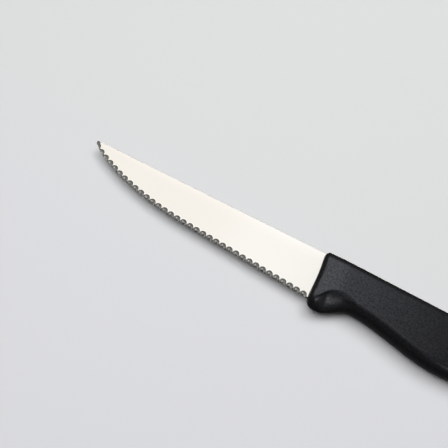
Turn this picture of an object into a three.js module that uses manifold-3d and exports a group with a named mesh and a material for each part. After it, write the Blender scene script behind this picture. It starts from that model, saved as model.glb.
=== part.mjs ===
// Serrated vegetable knife: a stamped steel blade with a scalloped edge and a handle moulded round its tang.
// Millimetres. The knife lies on its side: +X runs from tip to butt, +Y towards the spine, +Z up.
// Pieces are drawn about the point where the spine meets the handle: x = 0 at the handle's front, y = 0 on
// the spine and z = 0 in the middle of the blade's thickness.

import * as THREE from "three";
import { mergeVertices } from "three/addons/utils/BufferGeometryUtils.js";
import Module from "manifold-3d";

// Blade
const BLADE_LENGTH = 110;
const BLADE_THICKNESS = 1.2;
const HEEL_HEIGHT = 20.5;
const STRAIGHT_EDGE_LENGTH = 50;
const EDGE_TAPER_DEG = 4.2;
const TIP_ANGLE_DEG = 43;
const TIP_CURVE_PULL = 19;
const BELLY_CURVE_PULL = 19.5;
const TIP_BLUNTNESS = 0.9;

// Cutting edge, ground from the upper face only: a bevel along all of it, then a row of hollow scallops
const BEVEL_WIDTH = 1.35;
const EDGE_THICKNESS = 0.12;
const SCALLOP_PITCH = 3.25;
const SCALLOP_WIDTH_RADIUS = 2.4;
const SCALLOP_SWEEP_RADIUS = 3;
const SCALLOP_EDGE_ANGLE_DEG = 16;
const TOOTH_DEPTH = 0.75;
const TIP_SHALLOWING = 0.6;
const TIP_SHALLOWING_LENGTH = 16;
const TIP_BEVEL_SHARE = 0.9;

// Tang, stamped in one with the blade: a heel block just inside the handle, then a narrower tongue
const SPINE_STEP = 1.8;
const HEEL_BLOCK_LENGTH = 6;
const TANG_LENGTH = 76;
const TANG_DROP = 5;
const TANG_ROOT_HEIGHT = 10.5;
const TANG_END_HEIGHT = 8;
const TANG_CORNER_RADIUS = 2;
const LOCK_HOLE_DIAMETER = 5;
const LOCK_HOLE_PLACES = [20, 42, 64];

// Handle; its lower line turns at the guard, waist, belly, tail and hooked butt, each a place along the
// handle and a rise or drop from the turn before it, starting from the blade's heel
const HANDLE_LENGTH = 112;
const HANDLE_THICKNESS = 13.5;
const FRONT_THICKNESS = 10.6;
const FRONT_TAPER_LENGTH = 13;
const HANDLE_LEAN_DEG = 4;
const FRONT_HOLLOW = 0.6;
const FRONT_HOLLOW_LENGTH = 8;
const TOP_PROUD = 0.4;
const TOP_FALL_DEG = 1.2;
const GUARD_PLACE = 5;
const GUARD_DROP = 3.5;
const GUARD_NOSE_HEIGHT = 3.6;
const WAIST_PLACE = 18.7;
const WAIST_RISE = 5.3;
const BELLY_PLACE = 59.5;
const BELLY_DROP = 6.1;
const TAIL_PLACE = 90;
const TAIL_RISE = 2.4;
const HOOK_SETBACK = 6.5;
const HOOK_DROP = 2.6;
const HOOK_NOSE_HEIGHT = 6;
const BUTT_DROP = 1.2;
const BUTT_DROP_START = 66;
const BUTT_TOP_RADIUS = 8;

// Handle edges
const TOP_RADIUS = 2.8;
const BELLY_ROUND_HEIGHT = 4.5;
const BELLY_ROUND_WIDTH = 6.2;
const FRONT_RADIUS = 2.2;
const BUTT_RADIUS = 4.5;

// Scoop for the forefinger behind the guard, where the belly rounding climbs and flattens
const SCOOP_SETBACK = 3.5;
const SCOOP_RUN_IN = 7;
const SCOOP_RUN_OUT = 13.5;
const SCOOP_RISE = 4.5;
const SCOOP_FLATNESS = 0.5;

// Clearance round the tang's outline; the handle grips the blade's two flat faces without a gap
const TANG_CLEARANCE = 0.3;

// Facets and overrun of cutting tools
const CURVE_STEPS = 24;
const BLADE_STATIONS = 40;
const SCALLOP_WIDTH_FACETS = 28;
const SCALLOP_SWEEP_FACETS = 32;
const HANDLE_STATIONS = 64;
const CORNER_STEPS = 7;
const SIDE_STEPS = 5;
const TOOL_OVERRUN = 1;
const WELD_DISTANCE = 1e-4;

const { degToRad, lerp, smoothstep } = THREE.MathUtils;
const wasm = await Module();
wasm.setup();

// A solid from a closed geometry, its shared corners welded
function solidOf(geometry) {
  const bare = geometry.clone();
  bare.deleteAttribute("normal");
  bare.deleteAttribute("uv");
  const welded = mergeVertices(bare, WELD_DISTANCE);
  const vertProperties = welded.getAttribute("position").array;
  const triVerts = Uint32Array.from(welded.getIndex().array);
  return new wasm.Manifold(new wasm.Mesh({ numProp: 3, vertProperties, triVerts }));
}

// The geometry of a finished solid
function geometryOf(solid) {
  const { vertProperties, triVerts } = solid.getMesh();
  const geometry = new THREE.BufferGeometry();
  geometry.setAttribute("position", new THREE.BufferAttribute(vertProperties, 3));
  geometry.setIndex(new THREE.BufferAttribute(triVerts, 1));
  geometry.computeVertexNormals();
  return geometry;
}

// A closed skin over rings of points, capped at both ends with strips from side to side. Seen from +X each
// ring runs anticlockwise, down the upper side and back along its mirror image on the lower side.
function skinOver(rings) {
  const size = rings[0].length;
  const faces = [];
  for (let i = 0; i < rings.length - 1; i += 1) {
    for (let j = 0; j < size; j += 1) {
      const a = i * size + j;
      const b = i * size + ((j + 1) % size);
      faces.push(a, b, a + size, b, b + size, a + size);
    }
  }
  const last = (rings.length - 1) * size;
  for (let j = 0; j < size / 2 - 1; j += 1) {
    const mirror = size - 1 - j;
    faces.push(j, mirror, j + 1, j + 1, mirror, mirror - 1);
    faces.push(last + j, last + j + 1, last + mirror, last + j + 1, last + mirror - 1, last + mirror);
  }
  const geometry = new THREE.BufferGeometry().setFromPoints(rings.flat());
  geometry.setIndex(faces);
  return geometry;
}

// A flat plate of the blade's thickness, centred on z = 0
function plate(shape) {
  const options = { depth: BLADE_THICKNESS, bevelEnabled: false, curveSegments: CURVE_STEPS };
  return new THREE.ExtrudeGeometry(shape, options).translate(0, 0, -BLADE_THICKNESS / 2);
}

// Height of the edge line under the spine at a place along the straight part of the edge
function edgeY(x) {
  return -HEEL_HEIGHT - x * Math.tan(degToRad(EDGE_TAPER_DEG));
}

// The handle's front and butt lean: how far a point this high is moved along the knife
function lean(y) {
  return -y * Math.tan(degToRad(HANDLE_LEAN_DEG));
}

// Where the edge meets the handle's front; the full height of the blade ends here
function heelX() {
  return lean(-HEEL_HEIGHT);
}

// The line through the tooth tips: a curved belly from the tip, then straight to the handle's front
function traceEdge(path) {
  const taper = degToRad(EDGE_TAPER_DEG);
  const tip = degToRad(TIP_ANGLE_DEG);
  const straightX = -STRAIGHT_EDGE_LENGTH;
  path.moveTo(-BLADE_LENGTH, -TIP_BLUNTNESS);
  path.bezierCurveTo(
    -BLADE_LENGTH + TIP_CURVE_PULL * Math.cos(tip),
    -TIP_BLUNTNESS - TIP_CURVE_PULL * Math.sin(tip),
    straightX - BELLY_CURVE_PULL * Math.cos(taper),
    edgeY(straightX) + BELLY_CURVE_PULL * Math.sin(taper),
    straightX,
    edgeY(straightX),
  );
  path.lineTo(heelX(), edgeY(heelX()));
  return path;
}

// The heel block and tongue inside the handle, from the edge round to the spine, grown by a clearance
function traceTang(path, grow) {
  const blockX = HEEL_BLOCK_LENGTH + grow;
  const endX = TANG_LENGTH + grow;
  const top = -TANG_DROP + grow;
  const rootBottom = -TANG_DROP - TANG_ROOT_HEIGHT - grow;
  const endBottom = -TANG_DROP - TANG_END_HEIGHT - grow;
  path.lineTo(blockX, edgeY(HEEL_BLOCK_LENGTH) - grow);
  path.lineTo(blockX, rootBottom);
  path.lineTo(endX - TANG_CORNER_RADIUS, endBottom);
  path.quadraticCurveTo(endX, endBottom, endX, endBottom + TANG_CORNER_RADIUS);
  path.lineTo(endX, top - TANG_CORNER_RADIUS);
  path.quadraticCurveTo(endX, top, endX - TANG_CORNER_RADIUS, top);
  path.lineTo(blockX, top);
  path.lineTo(blockX, -SPINE_STEP + grow);
}

// Round holes along the tongue's middle line, each shrunk by a clearance
function lockHoles(shrink) {
  return LOCK_HOLE_PLACES.map((x) => {
    const along = (x - HEEL_BLOCK_LENGTH) / (TANG_LENGTH - HEEL_BLOCK_LENGTH);
    const height = lerp(TANG_ROOT_HEIGHT, TANG_END_HEIGHT, along);
    const hole = new THREE.Path();
    hole.absarc(x, -TANG_DROP - height / 2, LOCK_HOLE_DIAMETER / 2 - shrink, 0, 2 * Math.PI, true);
    return hole;
  });
}

// One grinding tool for each scallop: an egg-shaped wheel that leaves the steel along the back face and
// is set in less deeply near the tip
function scallopCutters() {
  const edge = traceEdge(new THREE.Path());
  const count = Math.floor(edge.getLength() / SCALLOP_PITCH);
  const edgeAngle = degToRad(SCALLOP_EDGE_ANGLE_DEG);
  const setIn = TOOTH_DEPTH - SCALLOP_SWEEP_RADIUS * Math.sin(edgeAngle);
  const height = SCALLOP_SWEEP_RADIUS * Math.cos(edgeAngle) - BLADE_THICKNESS / 2;
  const up = new THREE.Vector3(0, 0, 1);
  const cutters = [];
  for (let i = 0; i < count; i += 1) {
    const distance = (i + 0.5) * SCALLOP_PITCH;
    const shallow = TIP_SHALLOWING * (1 - smoothstep(distance, 0, TIP_SHALLOWING_LENGTH));
    const point = edge.getPoint(distance / edge.getLength());
    const tangent = edge.getTangent(distance / edge.getLength());
    const across = new THREE.Vector3(tangent.x, tangent.y, 0);
    const inward = new THREE.Vector3(-tangent.y, tangent.x, 0);
    const middle = new THREE.Vector3(point.x, point.y, height).addScaledVector(inward, setIn - shallow);
    const place = new THREE.Matrix4().makeBasis(up, across, inward).setPosition(middle);
    const wheel = new THREE.SphereGeometry(SCALLOP_SWEEP_RADIUS, SCALLOP_SWEEP_FACETS, SCALLOP_WIDTH_FACETS);
    wheel.scale(1, SCALLOP_WIDTH_RADIUS / SCALLOP_SWEEP_RADIUS, 1);
    cutters.push(solidOf(wheel.applyMatrix4(place)));
  }
  return cutters;
}

// Heel block and tongue as one outline, from a place on the edge round to the same place under the spine
function tangShape(startX, grow) {
  const shape = new THREE.Shape();
  shape.moveTo(startX, edgeY(startX) - grow);
  traceTang(shape, grow);
  shape.lineTo(startX, -SPINE_STEP + grow);
  shape.holes = lockHoles(grow);
  return shape;
}

// Blade and tang: one stamping, stepped down at the spine just inside the handle
function bladeGeometry() {
  const edge = traceEdge(new THREE.Path());
  const half = BLADE_THICKNESS / 2;
  const rings = [];
  for (let i = 0; i <= BLADE_STATIONS; i += 1) {
    const { x, y } = edge.getPoint(i / BLADE_STATIONS);
    const slant = edge.getTangent(i / BLADE_STATIONS).x;
    const bevelY = y + Math.min(BEVEL_WIDTH / slant, -y * TIP_BEVEL_SHARE);
    rings.push([
      new THREE.Vector3(x, 0, half),
      new THREE.Vector3(x, bevelY, half),
      new THREE.Vector3(x, y, EDGE_THICKNESS - half),
      new THREE.Vector3(x, y, -half),
      new THREE.Vector3(x, bevelY, -half),
      new THREE.Vector3(x, 0, -half),
    ]);
  }
  const tang = plate(tangShape(heelX(), 0));
  let blade = solidOf(skinOver(rings)).add(solidOf(tang));
  for (const cutter of scallopCutters()) {
    blade = blade.subtract(cutter);
  }
  return geometryOf(blade);
}

// How far a surface has drawn in at a distance from an end that is rounded with this radius
function roundedIn(distance, radius) {
  const short = Math.max(0, radius - distance);
  return radius - Math.sqrt(radius * radius - short * short);
}

// The turns of the handle's lower line: places along the handle and depths below the spine
function lowerTurns() {
  const guard = HEEL_HEIGHT + GUARD_DROP;
  const waist = guard - WAIST_RISE;
  const belly = waist + BELLY_DROP;
  const tail = belly - TAIL_RISE;
  return [
    [GUARD_PLACE, guard],
    [WAIST_PLACE, waist],
    [BELLY_PLACE, belly],
    [TAIL_PLACE, tail],
    [HANDLE_LENGTH - HOOK_SETBACK, tail + HOOK_DROP],
  ];
}

// How far a round nose of this length and height has drawn up at a distance beyond its lowest point
function noseUp(distance, length, height) {
  const out = Math.min(1, distance / length);
  return height * (1 - Math.sqrt(1 - out * out));
}

// Depth of the handle's lower line: eased from turn to turn, with a round nose at either end
function lowerDepth(u) {
  const turns = lowerTurns();
  const [guardPlace, guardDepth] = turns[0];
  const [hookPlace, hookDepth] = turns[turns.length - 1];
  if (u <= guardPlace) {
    return guardDepth - noseUp(guardPlace - u, GUARD_PLACE, GUARD_NOSE_HEIGHT);
  }
  if (u >= hookPlace) {
    return hookDepth - noseUp(u - hookPlace, HOOK_SETBACK, HOOK_NOSE_HEIGHT);
  }
  const next = turns.findIndex(([place]) => u < place);
  const [fromPlace, fromDepth] = turns[next - 1];
  const [toPlace, toDepth] = turns[next];
  return lerp(fromDepth, toDepth, smoothstep(u, fromPlace, toPlace));
}

// How far the handle's front is hollowed between the spine and the guard, fading out along the handle
function frontHollow(u, y) {
  const down = THREE.MathUtils.clamp(-y / (HEEL_HEIGHT + GUARD_DROP - GUARD_NOSE_HEIGHT), 0, 1);
  return 4 * FRONT_HOLLOW * down * (1 - down) * (1 - smoothstep(u, 0, FRONT_HOLLOW_LENGTH));
}

// How fully the scoop for the forefinger is formed at a place along the handle, from 0 to 1
function scoopShare(u) {
  const place = GUARD_PLACE + SCOOP_SETBACK;
  return smoothstep(u, place - SCOOP_RUN_IN, place) * (1 - smoothstep(u, place, place + SCOOP_RUN_OUT));
}

// A sine or cosine bent by a power, so that a round corner gets flatter as the power grows
function bent(value, power) {
  return Math.sign(value) * Math.abs(value) ** power;
}

// One ring of the handle at a place along it: a rounded box with a fuller rounding on the belly side
function handleRing(u) {
  const frontIn = roundedIn(u, FRONT_RADIUS);
  const topSlope = Math.tan(degToRad(TOP_FALL_DEG));
  const fall = u * topSlope + BUTT_DROP * smoothstep(u, BUTT_DROP_START, HANDLE_LENGTH);
  const top = TOP_PROUD - fall - frontIn - roundedIn(HANDLE_LENGTH - u, BUTT_TOP_RADIUS);
  const bottom = -lowerDepth(u) + frontIn;
  const tapered = Math.max(0, 1 - u / FRONT_TAPER_LENGTH);
  const thickness = lerp(HANDLE_THICKNESS, FRONT_THICKNESS, tapered * tapered);
  const half = thickness / 2 - frontIn - roundedIn(HANDLE_LENGTH - u, BUTT_RADIUS);

  const topRadius = Math.min(TOP_RADIUS, half);
  const roundWidth = Math.min(BELLY_ROUND_WIDTH, half);
  const roundHeight = BELLY_ROUND_HEIGHT + SCOOP_RISE * scoopShare(u);
  const power = 1 + SCOOP_FLATNESS * scoopShare(u);
  const corners = [
    { y: top - topRadius, z: half - topRadius, height: topRadius, width: topRadius, power: 1 },
    { y: bottom + roundHeight, z: half - roundWidth, height: roundHeight, width: roundWidth, power },
    { y: bottom + roundHeight, z: roundWidth - half, height: roundHeight, width: roundWidth, power },
    { y: top - topRadius, z: topRadius - half, height: topRadius, width: topRadius, power: 1 },
  ];
  const around = corners.flatMap((corner, quarter) => {
    const points = [];
    for (let step = 0; step <= CORNER_STEPS; step += 1) {
      const angle = ((quarter + step / CORNER_STEPS) * Math.PI) / 2;
      const y = corner.y + corner.height * bent(Math.cos(angle), corner.power);
      const z = corner.z + corner.width * bent(Math.sin(angle), corner.power);
      points.push([y, z]);
    }
    const next = corners[quarter + 1];
    const isSide = quarter % 2 === 0;
    for (let step = 1; isSide && step < SIDE_STEPS; step += 1) {
      points.push([lerp(corner.y, next.y, step / SIDE_STEPS), points[CORNER_STEPS][1]]);
    }
    return points;
  });
  return around.map(([y, z]) => new THREE.Vector3(u + lean(y) + frontHollow(u, y), y, z));
}

// The slot in the handle's front for the full height of the blade, up to its spine
function entryShape() {
  const shape = new THREE.Shape();
  shape.moveTo(-TOOL_OVERRUN, -SPINE_STEP);
  shape.lineTo(heelX(), -SPINE_STEP);
  shape.lineTo(heelX(), 0);
  shape.lineTo(-TOOL_OVERRUN, 0);
  return shape;
}

// Handle: one moulding, hollow where the tang lies and with a plug through each lock hole
function handleGeometry() {
  const rings = [];
  for (let i = 0; i <= HANDLE_STATIONS; i += 1) {
    const along = (1 - Math.cos((Math.PI * i) / HANDLE_STATIONS)) / 2;
    rings.push(handleRing(HANDLE_LENGTH * along));
  }
  const hollow = solidOf(plate(tangShape(-TOOL_OVERRUN, TANG_CLEARANCE)));
  const entry = solidOf(plate(entryShape()));
  return geometryOf(solidOf(skinOver(rings)).subtract(hollow.add(entry)));
}

const steel = new THREE.MeshStandardMaterial({ color: 0xe8e5e0, roughness: 0.22, metalness: 1 });
const blade = new THREE.Mesh(bladeGeometry(), steel);
blade.name = "blade";

const plastic = new THREE.MeshStandardMaterial({ color: 0x17181a, roughness: 0.55, metalness: 0 });
const handle = new THREE.Mesh(handleGeometry(), plastic);
handle.name = "handle";

// The knife lies on the flat of its handle, with the origin on the surface below its middle
const lying = new THREE.Group();
lying.add(blade, handle);
const box = new THREE.Box3().setFromObject(lying);
const middle = box.getCenter(new THREE.Vector3());
lying.position.set(-middle.x, -middle.y, -box.min.z);

const knife = new THREE.Group();
knife.add(lying);
export default knife;
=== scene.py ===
import bpy
import numpy as np
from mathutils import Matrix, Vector


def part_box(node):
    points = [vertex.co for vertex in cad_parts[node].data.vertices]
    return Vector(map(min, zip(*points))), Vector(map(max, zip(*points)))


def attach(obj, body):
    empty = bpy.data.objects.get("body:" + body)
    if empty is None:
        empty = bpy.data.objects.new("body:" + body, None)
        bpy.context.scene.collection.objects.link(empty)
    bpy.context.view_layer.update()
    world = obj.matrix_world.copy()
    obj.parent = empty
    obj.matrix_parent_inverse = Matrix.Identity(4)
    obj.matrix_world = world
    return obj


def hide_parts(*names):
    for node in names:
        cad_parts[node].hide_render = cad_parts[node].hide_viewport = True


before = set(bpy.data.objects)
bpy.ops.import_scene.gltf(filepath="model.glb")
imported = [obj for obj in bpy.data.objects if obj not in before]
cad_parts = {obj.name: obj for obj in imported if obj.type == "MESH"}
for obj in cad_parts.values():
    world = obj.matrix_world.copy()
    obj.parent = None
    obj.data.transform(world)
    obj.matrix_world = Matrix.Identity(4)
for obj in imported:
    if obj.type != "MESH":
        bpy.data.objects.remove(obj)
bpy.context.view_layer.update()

# Blade: one stamping of stainless sheet with a straight spine and an edge that curves up to a blunt tip.
# A bevel and a row of spoon-shaped scallops are ground from the upper face only, the flats are satin
# polished, and the root runs on inside the handle that is moulded round it. Sizes are in millimetres.
MM_PER_METRE = 1000
BLADE_LENGTH = 110.0
BLADE_THICKNESS = 1.2
HEEL_HEIGHT = 20.5
STRAIGHT_EDGE_LENGTH = 59.5
EDGE_TAPER = np.radians(4.2)
TIP_ANGLE = np.radians(43.5)
TIP_CURVE_PULL = 9.8
BELLY_CURVE_PULL = 24.0
TIP_BLUNTNESS = 0.9
# Share of the blunt end that is clipped off at the spine
TIP_CLIP = 0.55
ROOT_LENGTH = 4.0
# Rounding of the spine, and the most of the section's height and thickness that it takes up near the tip
SPINE_ROUND = 0.05
ROUND_HEIGHT_SHARE = 0.1
ROUND_THICKNESS_SHARE = 0.4

BEVEL_WIDTH = 0.4
TIP_BEVEL_WIDTH = 1.8
TIP_BEVEL_LENGTH = 4.5
TIP_BEVEL_SHARE = 0.9
TOOTH_LAND = 0.12
SCALLOP_LAND = 0.03
SCALLOP_COUNT = 35
SCALLOP_START = 0.55
SCALLOP_PITCH = 3.25
SCALLOP_WIDTH_RADIUS = 1.75
SCALLOP_SWEEP_RADIUS = 2.0
SCALLOP_EDGE_ANGLE = np.radians(20.0)
TOOTH_DEPTH = 0.75
TIP_SHALLOWING = 0.65
TIP_SHALLOWING_LENGTH = 14.0
# The least and most of the section's height that an arch takes up
ARCH_SHARES = (0.01, 0.85)

CURVE_STEPS = 4001
TIP_COLUMNS = 16
COLUMNS_PER_SCALLOP = 28
ROOT_COLUMNS = 24
BEVEL_ROWS = 14
# Rows across the upper flat and the back face, as shares of their width, and turns round the spine's edges
FLAT_ROWS = (0.03, 0.3, 0.7, 1.0)
BACK_ROWS = (0.7, 0.3, 0.05)
ROUND_TURNS = np.radians([0, 30, 60, 90])
SHARP_ANGLE = np.radians(24)

STEEL_COLOUR = (0.513, 0.49, 0.45, 1.0)
# The ground faces are a lighter steel: in part the ground finish, in part a painted sheen that brightens the
# scallop hollows
GROUND_COLOUR_WITH_PAINTED_SHEEN = (0.74, 0.72, 0.68, 1.0)
POLISHED_ROUGHNESS = (0.11, 0.19)
GROUND_ROUGHNESS = (0.36, 0.46)
# Polishing lines in waves per metre along X, Y and Z; grinding lines in waves per millimetre along the edge
# and across it
POLISH_SPREAD = (60.0, 9000.0, 9000.0)
GRIND_SPREAD = (14.0, 0.6, 1.0)
LINE_STRENGTH = 0.25
LINE_DEPTH = 0.004

blade_low, blade_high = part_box("blade")
# The point where the spine meets the handle, in the middle of the blade's thickness
SPINE_END = np.array([
    blade_low.x * MM_PER_METRE + BLADE_LENGTH,
    blade_high.y * MM_PER_METRE,
    (blade_low.z + blade_high.z) * MM_PER_METRE / 2,
])


def straight_edge_y(x):
    """Height of the straight part of the edge: it falls from the tip side to the heel at the taper angle."""
    return -HEEL_HEIGHT - x * np.tan(EDGE_TAPER)


def edge_line(s):
    """Place and direction of the edge at a distance s along it from the tip, and the curve's length.

    A cubic Bezier curve leaves the tip at the tip angle and joins a straight line at the taper angle; its
    length is summed over fine steps, and s is looked up in that sum. Before the tip and past the curve
    the line goes straight on."""
    tip = np.array([-BLADE_LENGTH, -TIP_BLUNTNESS])
    joint = np.array([-STRAIGHT_EDGE_LENGTH, straight_edge_y(-STRAIGHT_EDGE_LENGTH)])
    out = np.array([np.cos(TIP_ANGLE), -np.sin(TIP_ANGLE)])
    along = np.array([np.cos(EDGE_TAPER), -np.sin(EDGE_TAPER)])
    p0, p1, p2, p3 = tip, tip + TIP_CURVE_PULL * out, joint - BELLY_CURVE_PULL * along, joint
    t = np.linspace(0, 1, CURVE_STEPS)[:, None]
    curve = (1 - t) ** 3 * p0 + 3 * (1 - t) ** 2 * t * p1 + 3 * (1 - t) * t**2 * p2 + t**3 * p3
    slope = (1 - t) ** 2 * (p1 - p0) + 2 * (1 - t) * t * (p2 - p1) + t**2 * (p3 - p2)
    slope /= np.linalg.norm(slope, axis=1)[:, None]
    run = np.concatenate([[0], np.cumsum(np.linalg.norm(np.diff(curve, axis=0), axis=1))])
    place = np.stack([np.interp(s, run, curve[:, k]) for k in (0, 1)], -1)
    direction = np.stack([np.interp(s, run, slope[:, k]) for k in (0, 1)], -1)
    beyond = np.minimum(s, 0) + np.maximum(s - run[-1], 0)
    return place + beyond[:, None] * direction, direction, run[-1]


def eased(value, low, high):
    """Smoothstep: nought up to low, one from high on, and three t squared less two t cubed between."""
    t = np.clip((value - low) / (high - low), 0, 1)
    return t * t * (3 - 2 * t)


def scallop_reach(a, middle, height):
    """How far in from the tooth tips a scallop is cut at this height over the back face.

    The scallop is part of an egg: round with the sweep radius square to the edge and narrower along it.
    The reach is the egg's middle plus the half chord at that height and at the distance a off its middle;
    outside the egg it is nought."""
    raised = SCALLOP_SWEEP_RADIUS * np.cos(SCALLOP_EDGE_ANGLE) - height
    chord = SCALLOP_SWEEP_RADIUS**2 * (1 - (a / SCALLOP_WIDTH_RADIUS) ** 2) - raised**2
    return np.where(chord > 0, np.maximum(middle + np.sqrt(np.maximum(chord, 0)), 0), 0)


def ground_height(a, d, middle, bevel):
    """Height of the upper face over the back face at a distance d in from the tooth tips.

    It is the lowest of three: the full thickness, the bevel's slope, and the egg's underside."""
    left = 1 - (a / SCALLOP_WIDTH_RADIUS) ** 2 - ((d - middle) / SCALLOP_SWEEP_RADIUS) ** 2
    raised = SCALLOP_SWEEP_RADIUS * np.cos(SCALLOP_EDGE_ANGLE)
    egg = raised - SCALLOP_SWEEP_RADIUS * np.sqrt(np.maximum(left, 0))
    egg = np.where(left > 0, egg, BLADE_THICKNESS)
    slope = TOOTH_LAND + (BLADE_THICKNESS - TOOTH_LAND) * d / bevel
    return np.clip(np.minimum(egg, slope), SCALLOP_LAND, BLADE_THICKNESS)


def closed_skin(name, rings, uv):
    """A mesh over a grid of points, closed round every ring and capped at the first and last ring.

    rings has the shape (rings, points, 3) and uv (rings, points, 2); face j of ring i joins points j and
    j + 1 of ring i to the same points of ring i + 1."""
    count, size = rings.shape[:2]
    i, j = np.meshgrid(np.arange(count - 1), np.arange(size), indexing="ij")
    after = (j + 1) % size
    quads = np.stack([i * size + j, i * size + after, (i + 1) * size + after, (i + 1) * size + j], -1)
    first = list(range(size))[::-1]
    last = list(range((count - 1) * size, count * size))
    mesh = bpy.data.meshes.new(name)
    mesh.from_pydata(rings.reshape(-1, 3).tolist(), [], quads.reshape(-1, 4).tolist() + [first, last])
    corners = np.empty(len(mesh.loops), np.int32)
    mesh.loops.foreach_get("vertex_index", corners)
    layer = mesh.uv_layers.new(name="surface")
    layer.uv.foreach_set("vector", uv.reshape(-1, 2)[corners].astype(np.float32).ravel())
    mesh.polygons.foreach_set("use_smooth", np.ones(len(mesh.polygons), bool))
    mesh.validate()
    piece = bpy.data.objects.new(name, mesh)
    bpy.context.scene.collection.objects.link(piece)
    return piece


def blade_rings():
    """Sections of the blade square to its edge, one for each distance s along it.

    Each section starts on the back face at the edge, climbs the ground face in even steps to the top of
    its arch, crosses the flat to the spine, and comes back along the back face. The bevel widens towards
    the tip by a smoothstep, and scallop k has its middle k and a half pitches past the first one's start.
    Sections before the tip are cut short along the blunt end."""
    tip_start = -TIP_BLUNTNESS * np.sin(TIP_ANGLE)
    columns = np.arange(SCALLOP_COUNT * COLUMNS_PER_SCALLOP + 1)
    scallops = SCALLOP_START + columns * SCALLOP_PITCH / COLUMNS_PER_SCALLOP
    edge_length = edge_line(np.zeros(1))[2] + (STRAIGHT_EDGE_LENGTH + ROOT_LENGTH) / np.cos(EDGE_TAPER)
    s = np.concatenate([
        np.linspace((1 - TIP_CLIP) * tip_start, SCALLOP_START, TIP_COLUMNS)[:-1],
        scallops,
        np.linspace(scallops[-1], edge_length, ROOT_COLUMNS)[1:],
    ])
    place, direction, _ = edge_line(s)
    inward = np.stack([-direction[:, 1], direction[:, 0]], -1)
    spine = -place[:, 1] / inward[:, 1]
    index = np.clip(np.floor((s - SCALLOP_START) / SCALLOP_PITCH), 0, SCALLOP_COUNT - 1)
    centre = SCALLOP_START + (index + 0.5) * SCALLOP_PITCH
    a = s - centre
    shallower = TIP_SHALLOWING * (1 - eased(centre, 0, TIP_SHALLOWING_LENGTH))
    middle = TOOTH_DEPTH - shallower - SCALLOP_SWEEP_RADIUS * np.sin(SCALLOP_EDGE_ANGLE)
    blunt = np.maximum(-s, 0) / np.tan(TIP_ANGLE)
    bevel = BEVEL_WIDTH + (TIP_BEVEL_WIDTH - BEVEL_WIDTH) * (1 - eased(s, 0, TIP_BEVEL_LENGTH))
    bevel = np.minimum(bevel, TIP_BEVEL_SHARE * spine)
    edge = np.maximum(scallop_reach(a, middle, SCALLOP_LAND), blunt)
    arch = np.maximum(scallop_reach(a, middle, BLADE_THICKNESS), bevel)
    arch = np.clip(arch, *[edge + share * (spine - edge) for share in ARCH_SHARES])
    top = ground_height(a, spine, middle, bevel)
    most = np.minimum(ROUND_HEIGHT_SHARE * (spine - edge), ROUND_THICKNESS_SHARE * top)
    radius = np.minimum(SPINE_ROUND, most)

    def row(d, z):
        """Points at the distance d in from the tooth tips and the height z, and that distance."""
        return np.concatenate([place + d[:, None] * inward, z[:, None]], 1), d

    def on_face(d):
        """The same at the height of the upper face."""
        return row(d, ground_height(a, d, middle, bevel))

    rows = [row(edge, 0 * s)]
    rows += [on_face(edge + v * (arch - edge)) for v in np.linspace(0, 1, BEVEL_ROWS)]
    rows += [on_face(arch + v * (spine - radius - arch)) for v in FLAT_ROWS]
    for turn in ROUND_TURNS[1:]:
        rows.append(row(spine - radius * (1 - np.sin(turn)), top - radius * (1 - np.cos(turn))))
    for turn in ROUND_TURNS[::-1]:
        rows.append(row(spine - radius * (1 - np.sin(turn)), radius * (1 - np.cos(turn))))
    rows += [row(edge + v * (spine - radius - edge), 0 * s) for v in BACK_ROWS]
    points = np.stack([r[0] for r in rows], 1)
    across = np.stack([r[1] for r in rows], 1)
    points = (points + SPINE_END - [0, 0, BLADE_THICKNESS / 2]) / MM_PER_METRE
    ground = (np.arange(len(rows)) <= BEVEL_ROWS).astype(float)
    uv = np.stack([np.broadcast_to(s[:, None], across.shape), across], -1)
    return points, uv, np.broadcast_to(ground, across.shape)


rings, uv, ground = blade_rings()
blade = closed_skin("serrated_blade", rings[:, ::-1], uv[:, ::-1])
blade.data.set_sharp_from_angle(angle=SHARP_ANGLE)
mask = blade.data.attributes.new("ground", "FLOAT", "POINT")
mask.data.foreach_set("value", ground[:, ::-1].astype(np.float32).ravel())


def new_material(name):
    """A node material with one Principled shader; gives back the material, its node tree and the shader."""
    material = bpy.data.materials.new(name)
    material.use_nodes = True
    tree = material.node_tree
    return material, tree, tree.nodes["Principled BSDF"]


def streaks(tree, source, scale, detail):
    """Noise drawn out into lines: the coordinates of the source are scaled apart before the noise."""
    spread = tree.nodes.new("ShaderNodeMapping")
    spread.inputs["Scale"].default_value = scale
    tree.links.new(source, spread.inputs["Vector"])
    noise = tree.nodes.new("ShaderNodeTexNoise")
    noise.inputs["Scale"].default_value = 1.0
    noise.inputs["Detail"].default_value = detail
    tree.links.new(spread.outputs["Vector"], noise.inputs["Vector"])
    return noise.outputs["Fac"]


def ranged(tree, source, low, high):
    """A value from nought to one carried over to the range from low to high."""
    remap = tree.nodes.new("ShaderNodeMapRange")
    remap.inputs["To Min"].default_value = low
    remap.inputs["To Max"].default_value = high
    tree.links.new(source, remap.inputs["Value"])
    return remap.outputs["Result"]


def chosen(tree, factor, plain, worked):
    """The plain value where the factor is nought and the worked value where it is one, mixed between."""
    mix = tree.nodes.new("ShaderNodeMix")
    tree.links.new(factor, mix.inputs["Factor"])
    tree.links.new(plain, mix.inputs["A"])
    tree.links.new(worked, mix.inputs["B"])
    return mix.outputs["Result"]


def set_colour(tree, shader, factor, plain, worked):
    """Gives a shader the plain colour where the factor is nought and the worked one where it is one."""
    tint = tree.nodes.new("ShaderNodeMix")
    tint.data_type = "RGBA"
    tint.inputs["A"].default_value = plain
    tint.inputs["B"].default_value = worked
    tree.links.new(factor, tint.inputs["Factor"])
    tree.links.new(tint.outputs["Result"], shader.inputs["Base Color"])


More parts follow.
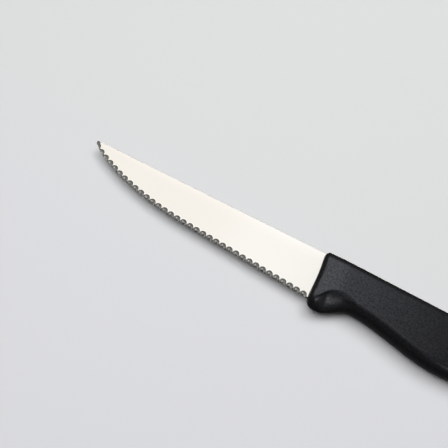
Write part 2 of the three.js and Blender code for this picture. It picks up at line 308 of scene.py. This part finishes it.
def set_relief(tree, shader, height, strength, depth):
    """Leans a shader's normal by the slope of the height times the depth, which is in millimetres."""
    relief = tree.nodes.new("ShaderNodeBump")
    relief.inputs["Strength"].default_value = strength
    relief.inputs["Distance"].default_value = depth / MM_PER_METRE
    tree.links.new(height, relief.inputs["Height"])
    tree.links.new(relief.outputs["Normal"], shader.inputs["Normal"])


steel, tree, shader = new_material("satin_steel")
shader.inputs["Metallic"].default_value = 1.0
where = tree.nodes.new("ShaderNodeTexCoord")
worked = tree.nodes.new("ShaderNodeAttribute")
worked.attribute_name = "ground"
polish_lines = streaks(tree, where.outputs["Object"], POLISH_SPREAD, detail=4.0)
grind_lines = streaks(tree, where.outputs["UV"], GRIND_SPREAD, detail=3.0)
# The ground faces take the lighter steel, which is partly a painted sheen in the scallop hollows
set_colour(tree, shader, worked.outputs["Fac"], STEEL_COLOUR, GROUND_COLOUR_WITH_PAINTED_SHEEN)
roughness = chosen(
    tree,
    worked.outputs["Fac"],
    ranged(tree, polish_lines, *POLISHED_ROUGHNESS),
    ranged(tree, grind_lines, *GROUND_ROUGHNESS),
)
tree.links.new(roughness, shader.inputs["Roughness"])
lines = chosen(tree, worked.outputs["Fac"], polish_lines, grind_lines)
set_relief(tree, shader, lines, LINE_STRENGTH, LINE_DEPTH)
blade.data.materials.append(steel)

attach(blade, "root")
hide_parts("blade")

# Handle: one injection moulding of black polypropylene, made in place round the blade's root, with a leaning
# front, a finger guard, a waist, a belly and a hooked butt. The mould is spark eroded, which leaves a fine
# matte grain, and its two halves leave a faint line round the middle. Sizes are in millimetres.
HANDLE_LENGTH = 112.0
HANDLE_THICKNESS = 13.5
FRONT_THICKNESS = 10.6
FRONT_TAPER_LENGTH = 13.0
HANDLE_LEAN = np.radians(4.0)
FRONT_HOLLOW = 0.6
FRONT_HOLLOW_LENGTH = 8.0
TOP_PROUD = 0.4
TOP_FALL = np.radians(1.2)
BUTT_DROP = 1.2
BUTT_DROP_START = 66.0
BUTT_TOP_RADIUS = 8.0
# Turns of the lower line: guard, waist, belly, tail and hook, as places along and depths under the spine
TURN_PLACES = np.array([5.0, 18.7, 59.5, 90.0, 105.5])
TURN_DEPTHS = np.array([24.0, 18.7, 24.8, 22.4, 25.0])
GUARD_NOSE_HEIGHT = 3.6
HOOK_NOSE_HEIGHT = 6.0
TOP_RADIUS = 3.0
FRONT_RADIUS = 2.4
BUTT_RADIUS = 4.5
BELLY_ROUND_HEIGHT = 4.5
BELLY_ROUND_WIDTH = 6.2
# The scoop for the forefinger: the belly rounding climbs and flattens there
SCOOP_START = 1.5
SCOOP_PLACE = 8.5
SCOOP_END = 22.0
SCOOP_RISE = 4.5
SCOOP_FLATNESS = 0.5

HANDLE_STATIONS = 300
CORNER_STEPS = 18
SIDE_STEPS = 20
EDGE_STEPS = 6
CAP_STEPS = 8

BLACK = (0.002, 0.0021, 0.0024, 1.0)
WORN_BLACK = (0.004, 0.0042, 0.0048, 1.0)
GLOSS_TINT = (0.92, 0.94, 1.0, 1.0)
PLASTIC_GLOSS = (-0.02, 1.06)
PLASTIC_ROUGHNESS = (0.26, 0.34)
# Grain of the mould and clouding of the plastic, in waves per metre
FINE_GRAIN = 2600.0
PEBBLE_GRAIN = 1500.0
CLOUDING = 90.0
GRAIN_STRENGTH = 0.35
GRAIN_DEPTH = 0.03
# Heights of the pebbles and of the mould line as multiples of the fine grain's
PEBBLE_HEIGHT = 5.0
MOULD_LINE_HEIGHT = 3.0
MOULD_LINE_HALF_WIDTH = 0.16


def drawn_in(distance, radius):
    """How far a surface has drawn in at a distance from an end that is rounded with a quarter circle."""
    short = np.maximum(0, radius - distance)
    return radius - np.sqrt(np.maximum(0, radius**2 - short**2))


def lower_depth(u):
    """Depth of the lower line: smoothsteps from turn to turn, with a quarter ellipse at either end."""
    after = np.clip(np.searchsorted(TURN_PLACES, u, side="right"), 1, len(TURN_PLACES) - 1)
    share = eased(u, TURN_PLACES[after - 1], TURN_PLACES[after])
    depth = TURN_DEPTHS[after - 1] + share * (TURN_DEPTHS[after] - TURN_DEPTHS[after - 1])
    front = np.clip((TURN_PLACES[0] - u) / TURN_PLACES[0], 0, 1)
    back = np.clip((u - TURN_PLACES[-1]) / (HANDLE_LENGTH - TURN_PLACES[-1]), 0, 1)
    depth -= GUARD_NOSE_HEIGHT * (1 - np.sqrt(1 - front**2))
    return depth - HOOK_NOSE_HEIGHT * (1 - np.sqrt(1 - back**2))


def set_along(u, y):
    """Place along the knife: the station, the lean by height, and the hollow of the front between spine
    and guard, which is a parabola that fades out along the handle."""
    down = np.clip(-y / (TURN_DEPTHS[0] - GUARD_NOSE_HEIGHT), 0, 1)
    hollow = 4 * FRONT_HOLLOW * down * (1 - down) * (1 - eased(u, 0, FRONT_HOLLOW_LENGTH))
    return u - y * np.tan(HANDLE_LEAN) + hollow


def handle_sections(u):
    """Heights and half widths round the handle at each station u.

    Each section is a box with quarter ellipses at its corners, tight on the spine side and full on the
    belly side, and both ends of the handle draw in along quarter circles. In the scoop the belly's ellipse
    is taller, and its sine and cosine are raised to a power over one, which flattens it."""
    front = drawn_in(u, FRONT_RADIUS)
    fall = u * np.tan(TOP_FALL) + BUTT_DROP * eased(u, BUTT_DROP_START, HANDLE_LENGTH)
    top = TOP_PROUD - fall - front - drawn_in(HANDLE_LENGTH - u, BUTT_TOP_RADIUS)
    bottom = front - lower_depth(u)
    taper = np.maximum(0, 1 - u / FRONT_TAPER_LENGTH) ** 2
    thickness = HANDLE_THICKNESS + (FRONT_THICKNESS - HANDLE_THICKNESS) * taper
    half = thickness / 2 - front - drawn_in(HANDLE_LENGTH - u, BUTT_RADIUS)

    turn = np.linspace(0, np.pi / 2, CORNER_STEPS + 1)
    side = np.linspace(0, 1, SIDE_STEPS + 1)[1:-1]
    flat = np.linspace(0, 1, EDGE_STEPS + 1)
    top_round = np.minimum(TOP_RADIUS, half)[:, None]
    wide = np.minimum(BELLY_ROUND_WIDTH, half)[:, None]
    scoop = (eased(u, SCOOP_START, SCOOP_PLACE) * (1 - eased(u, SCOOP_PLACE, SCOOP_END)))[:, None]
    high = BELLY_ROUND_HEIGHT + SCOOP_RISE * scoop
    power = 1 + SCOOP_FLATNESS * scoop
    top, bottom, half = top[:, None], bottom[:, None], half[:, None]
    y = np.concatenate([
        top + 0 * flat[:-1],
        top - top_round * (1 - np.cos(turn)),
        (top - top_round) * (1 - side) + (bottom + high) * side,
        bottom + high * (1 - np.sin(turn) ** power),
        bottom + 0 * flat[1:],
    ], 1)
    z = np.concatenate([
        (half - top_round) * flat[:-1],
        half - top_round * (1 - np.sin(turn)),
        half + 0 * side,
        half - wide * (1 - np.maximum(np.cos(turn), 0) ** power),
        (half - wide) * (1 - flat[1:]),
    ], 1)
    return np.concatenate([y, y[:, -2:0:-1]], 1), np.concatenate([z, -z[:, -2:0:-1]], 1)


def handle_rings():
    """Rings of the handle from the middle of its front to the middle of its butt.

    The stations crowd towards both ends along a cosine, and each end is closed by shrunken copies of its
    last section that keep to the surface of the front or butt."""
    u = HANDLE_LENGTH * (1 - np.cos(np.linspace(0, np.pi, HANDLE_STATIONS))) / 2
    y, z = handle_sections(u)
    shrink = (np.arange(CAP_STEPS) + 0.5)[:, None] / (CAP_STEPS + 0.5)

    def cap(end, sizes):
        """Copies of an end's section, scaled by the sizes about the middle of its height."""
        middle = (y[end].max() + y[end].min()) / 2
        return middle + sizes * (y[end] - middle), sizes * z[end]

    front_y, front_z = cap(0, shrink)
    butt_y, butt_z = cap(-1, shrink[::-1])
    y, z = np.concatenate([front_y, y, butt_y]), np.concatenate([front_z, z, butt_z])
    u = np.concatenate([np.full(CAP_STEPS, u[0]), u, np.full(CAP_STEPS, u[-1])])[:, None]
    x = set_along(u, y)
    around = np.broadcast_to(np.arange(y.shape[1]) / y.shape[1], y.shape)
    points = (np.stack([x, y, z], -1) + SPINE_END) / MM_PER_METRE
    return points, np.stack([x / HANDLE_LENGTH, around], -1)


rings, uv = handle_rings()
rings = np.clip(rings, *[np.array(corner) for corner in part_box("handle")])
handle = closed_skin("moulded_handle", rings, uv)


def grain(tree, source, scale, detail, rough):
    """Noise with that many waves per metre, read from the source's coordinates."""
    noise = tree.nodes.new("ShaderNodeTexNoise")
    noise.inputs["Scale"].default_value = scale
    noise.inputs["Detail"].default_value = detail
    noise.inputs["Roughness"].default_value = rough
    tree.links.new(source, noise.inputs["Vector"])
    return noise.outputs["Fac"]


def faded(tree, source, start, end):
    """Smoothstep of a value: nought at the start and one at the end."""
    fade = tree.nodes.new("ShaderNodeMapRange")
    fade.interpolation_type = "SMOOTHSTEP"
    fade.inputs["From Min"].default_value = start
    fade.inputs["From Max"].default_value = end
    tree.links.new(source, fade.inputs["Value"])
    return fade.outputs["Result"]


def summed(tree, source, weight, other):
    """One value times a weight, plus another."""
    total = tree.nodes.new("ShaderNodeMath")
    total.operation = "MULTIPLY_ADD"
    total.inputs[1].default_value = weight
    tree.links.new(source, total.inputs[0])
    tree.links.new(other, total.inputs[2])
    return total.outputs["Value"]


def distance_off(tree, source, value):
    """How far a value is from a fixed one, either way: the size of their difference."""
    short = tree.nodes.new("ShaderNodeMath")
    short.operation = "SUBTRACT"
    short.inputs[1].default_value = value
    tree.links.new(source, short.inputs[0])
    size = tree.nodes.new("ShaderNodeMath")
    size.operation = "ABSOLUTE"
    tree.links.new(short.outputs["Value"], size.inputs[0])
    return size.outputs["Value"]


def parted(tree, source):
    """The X, Y and Z of a place or a direction, each by itself."""
    parts = tree.nodes.new("ShaderNodeSeparateXYZ")
    tree.links.new(source, parts.inputs["Vector"])
    return parts.outputs


plastic, tree, shader = new_material("grained_black_plastic")
where = tree.nodes.new("ShaderNodeTexCoord")
fine = grain(tree, where.outputs["Object"], FINE_GRAIN, detail=3.0, rough=0.6)
pebble = grain(tree, where.outputs["Object"], PEBBLE_GRAIN, detail=2.0, rough=0.6)
cloud = grain(tree, where.outputs["Object"], CLOUDING, detail=4.0, rough=0.55)
set_colour(tree, shader, cloud, BLACK, WORN_BLACK)
tree.links.new(ranged(tree, pebble, *PLASTIC_GLOSS), shader.inputs["Specular IOR Level"])
shader.inputs["Specular Tint"].default_value = GLOSS_TINT
tree.links.new(ranged(tree, fine, *PLASTIC_ROUGHNESS), shader.inputs["Roughness"])
height = parted(tree, where.outputs["Object"])["Z"]
off_middle = distance_off(tree, height, SPINE_END[2] / MM_PER_METRE)
mould_line = faded(tree, off_middle, MOULD_LINE_HALF_WIDTH / MM_PER_METRE, 0.0)
surface = summed(tree, mould_line, MOULD_LINE_HEIGHT, summed(tree, pebble, PEBBLE_HEIGHT, fine))
set_relief(tree, shader, surface, GRAIN_STRENGTH, GRAIN_DEPTH)
handle.data.materials.append(plastic)

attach(handle, "root")
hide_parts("handle")

# Table: a plain pale sheet of matt card that the knife lies on, far wider than the view. Its near side is
# painted a little cooler: a painted tint of the cool light a pale wall would throw, not the card's own
# colour.
# Sizes from here on are in metres.
TABLE_HALF_WIDTH = 2.0
TABLE_HEIGHT = -0.00003
NEAR_COLOUR_WITH_PAINTED_COOL_LIGHT = (0.788, 0.793, 0.818, 1.0)
FAR_COLOUR = (0.788, 0.798, 0.797, 1.0)
# Where the painted cool light on the near side fades into the card's own colour, along Y
PAINTED_COOL_LIGHT_SPAN = (-0.035, 0.045)
CARD_GLOSS = 0.2
CARD_ROUGHNESS = (0.75, 0.9)
CARD_GRAIN = 900.0
corners = np.array([[-1, -1], [1, -1], [1, 1], [-1, 1]]) * TABLE_HALF_WIDTH
mesh = bpy.data.meshes.new("table")
mesh.from_pydata([(x, y, TABLE_HEIGHT) for x, y in corners.tolist()], [], [(0, 1, 2, 3)])
table = bpy.data.objects.new("table", mesh)
bpy.context.scene.collection.objects.link(table)
sheet, tree, shader = new_material("pale_sheet")
shader.inputs["Specular IOR Level"].default_value = CARD_GLOSS
where = tree.nodes.new("ShaderNodeTexCoord")
across = parted(tree, where.outputs["Object"])["Y"]
# Painted cool light: the card's colour turns cooler towards the near side along Y
set_colour(tree, shader, faded(tree, across, *PAINTED_COOL_LIGHT_SPAN), NEAR_COLOUR_WITH_PAINTED_COOL_LIGHT, FAR_COLOUR)
tooth = grain(tree, where.outputs["Object"], CARD_GRAIN, detail=2.0, rough=0.5)
tree.links.new(ranged(tree, tooth, *CARD_ROUGHNESS), shader.inputs["Roughness"])
table.data.materials.append(sheet)
table.visible_glossy = False

# Light: one soft panel overhead and a little behind the knife lights the table. What the steel and plastic
# mirror is set apart from it: a glowing panel with a cooler end over the heel and a dim rim round it, a small
# panel low in front that makes a glint, and a dark room with pale walls.
ROOM_LIGHT = 0.008
BACK_WALL_LIGHT = 0.45
SIDE_WALL_LIGHT = 0.24
FRONT_WALL_LIGHT = 0.15
FLOOR_GLEAM = 0.07
# Where each part of the room fades into the next, along Y or up Z of the direction looked in
BACK_WALL_SPAN = (0.3, 0.9)
FRONT_WALL_SPAN = (-0.95, -0.6)
WALL_TOP_SPAN = (0.65, 0.4)
FLOOR_SPAN = (0.02, -0.06)
HEEL_GLOW_COLOUR = (0.5, 0.7, 1.0)
world = bpy.data.worlds.new("studio")
bpy.context.scene.world = world
world.cycles_visibility.diffuse = False
world.use_nodes = True
tree = world.node_tree
where = tree.nodes.new("ShaderNodeTexCoord")
way = parted(tree, where.outputs["Generated"])
back = ranged(tree, faded(tree, way["Y"], *BACK_WALL_SPAN), ROOM_LIGHT, BACK_WALL_LIGHT)
sides = ranged(tree, faded(tree, way["Y"], *FRONT_WALL_SPAN), FRONT_WALL_LIGHT, SIDE_WALL_LIGHT)
walls = chosen(tree, faded(tree, way["Z"], *WALL_TOP_SPAN), back, sides)
around = tree.nodes.new("ShaderNodeMix")
around.inputs["B"].default_value = FLOOR_GLEAM
tree.links.new(faded(tree, way["Z"], *FLOOR_SPAN), around.inputs["Factor"])
tree.links.new(walls, around.inputs["A"])
tree.links.new(around.outputs["Result"], tree.nodes["Background"].inputs["Strength"])
tree.nodes["Background"].inputs["Color"].default_value = (1.0, 1.0, 1.0, 1.0)


def soft_box(name, middle, aim, width, depth, radiance):
    """A flat soft panel turned to face a point; its power is its radiance times pi times its area."""
    lamp = bpy.data.lights.new(name, "AREA")
    lamp.shape = "RECTANGLE"
    lamp.size = width
    lamp.size_y = depth
    lamp.energy = radiance * np.pi * width * depth
    holder = bpy.data.objects.new(name, lamp)
    bpy.context.scene.collection.objects.link(holder)
    holder.location = middle
    holder.rotation_euler = (Vector(aim) - Vector(middle)).to_track_quat("-Z", "Y").to_euler()
    return holder


def mirrored_box(name, middle, aim, width, depth, radiance):
    """A soft panel that only shows as a reflection and lights nothing matt."""
    holder = soft_box(name, middle, aim, width, depth, radiance)
    holder.visible_diffuse = False
    return holder


soft_panel = soft_box(
    "soft_panel", middle=(-0.06, 0.17, 1.1), aim=(0.0, 0.13, 0.0), width=1.3, depth=0.56, radiance=6.2
)
soft_panel.visible_glossy = False
mirrored_box(
    "panel_glow", middle=(-0.47, 0.37, 1.05), aim=(-0.47, 0.37, 0.0), width=1.0, depth=1.02, radiance=1.25
)
heel_glow = mirrored_box(
    "heel_glow", middle=(-0.09, 0.37, 1.04), aim=(-0.09, 0.37, 0.0), width=0.22, depth=1.02, radiance=0.19
)
heel_glow.data.color = HEEL_GLOW_COLOUR
mirrored_box(
    "panel_rim", middle=(-0.45, 0.04, 1.07), aim=(-0.45, 0.04, 0.0), width=1.08, depth=1.68, radiance=0.55
)
mirrored_box(
    "side_panel", middle=(0.46, -0.8, 0.78), aim=(0.0, 0.0, 0.0), width=0.3, depth=0.34, radiance=4.6
)

# Camera: at the photograph's angle, 71 degrees above the table and 28 degrees round from the edge side, with
# a view 28 degrees wide.
CAMERA_PLACE = (0.01264, -0.10478, 0.36485)
CAMERA_TILT = np.radians(19.0)
CAMERA_TURN = np.radians(27.896)
VIEW_WIDTH = np.radians(28.0)
NEAREST_SEEN = 0.01
camera = bpy.data.objects.new("camera", bpy.data.cameras.new("camera"))
bpy.context.scene.collection.objects.link(camera)
camera.location = CAMERA_PLACE
camera.rotation_euler = (CAMERA_TILT, 0.0, CAMERA_TURN)
camera.data.angle = VIEW_WIDTH
camera.data.clip_start = NEAREST_SEEN
bpy.context.scene.camera = camera
bpy.context.scene.view_settings.view_transform = "Standard"
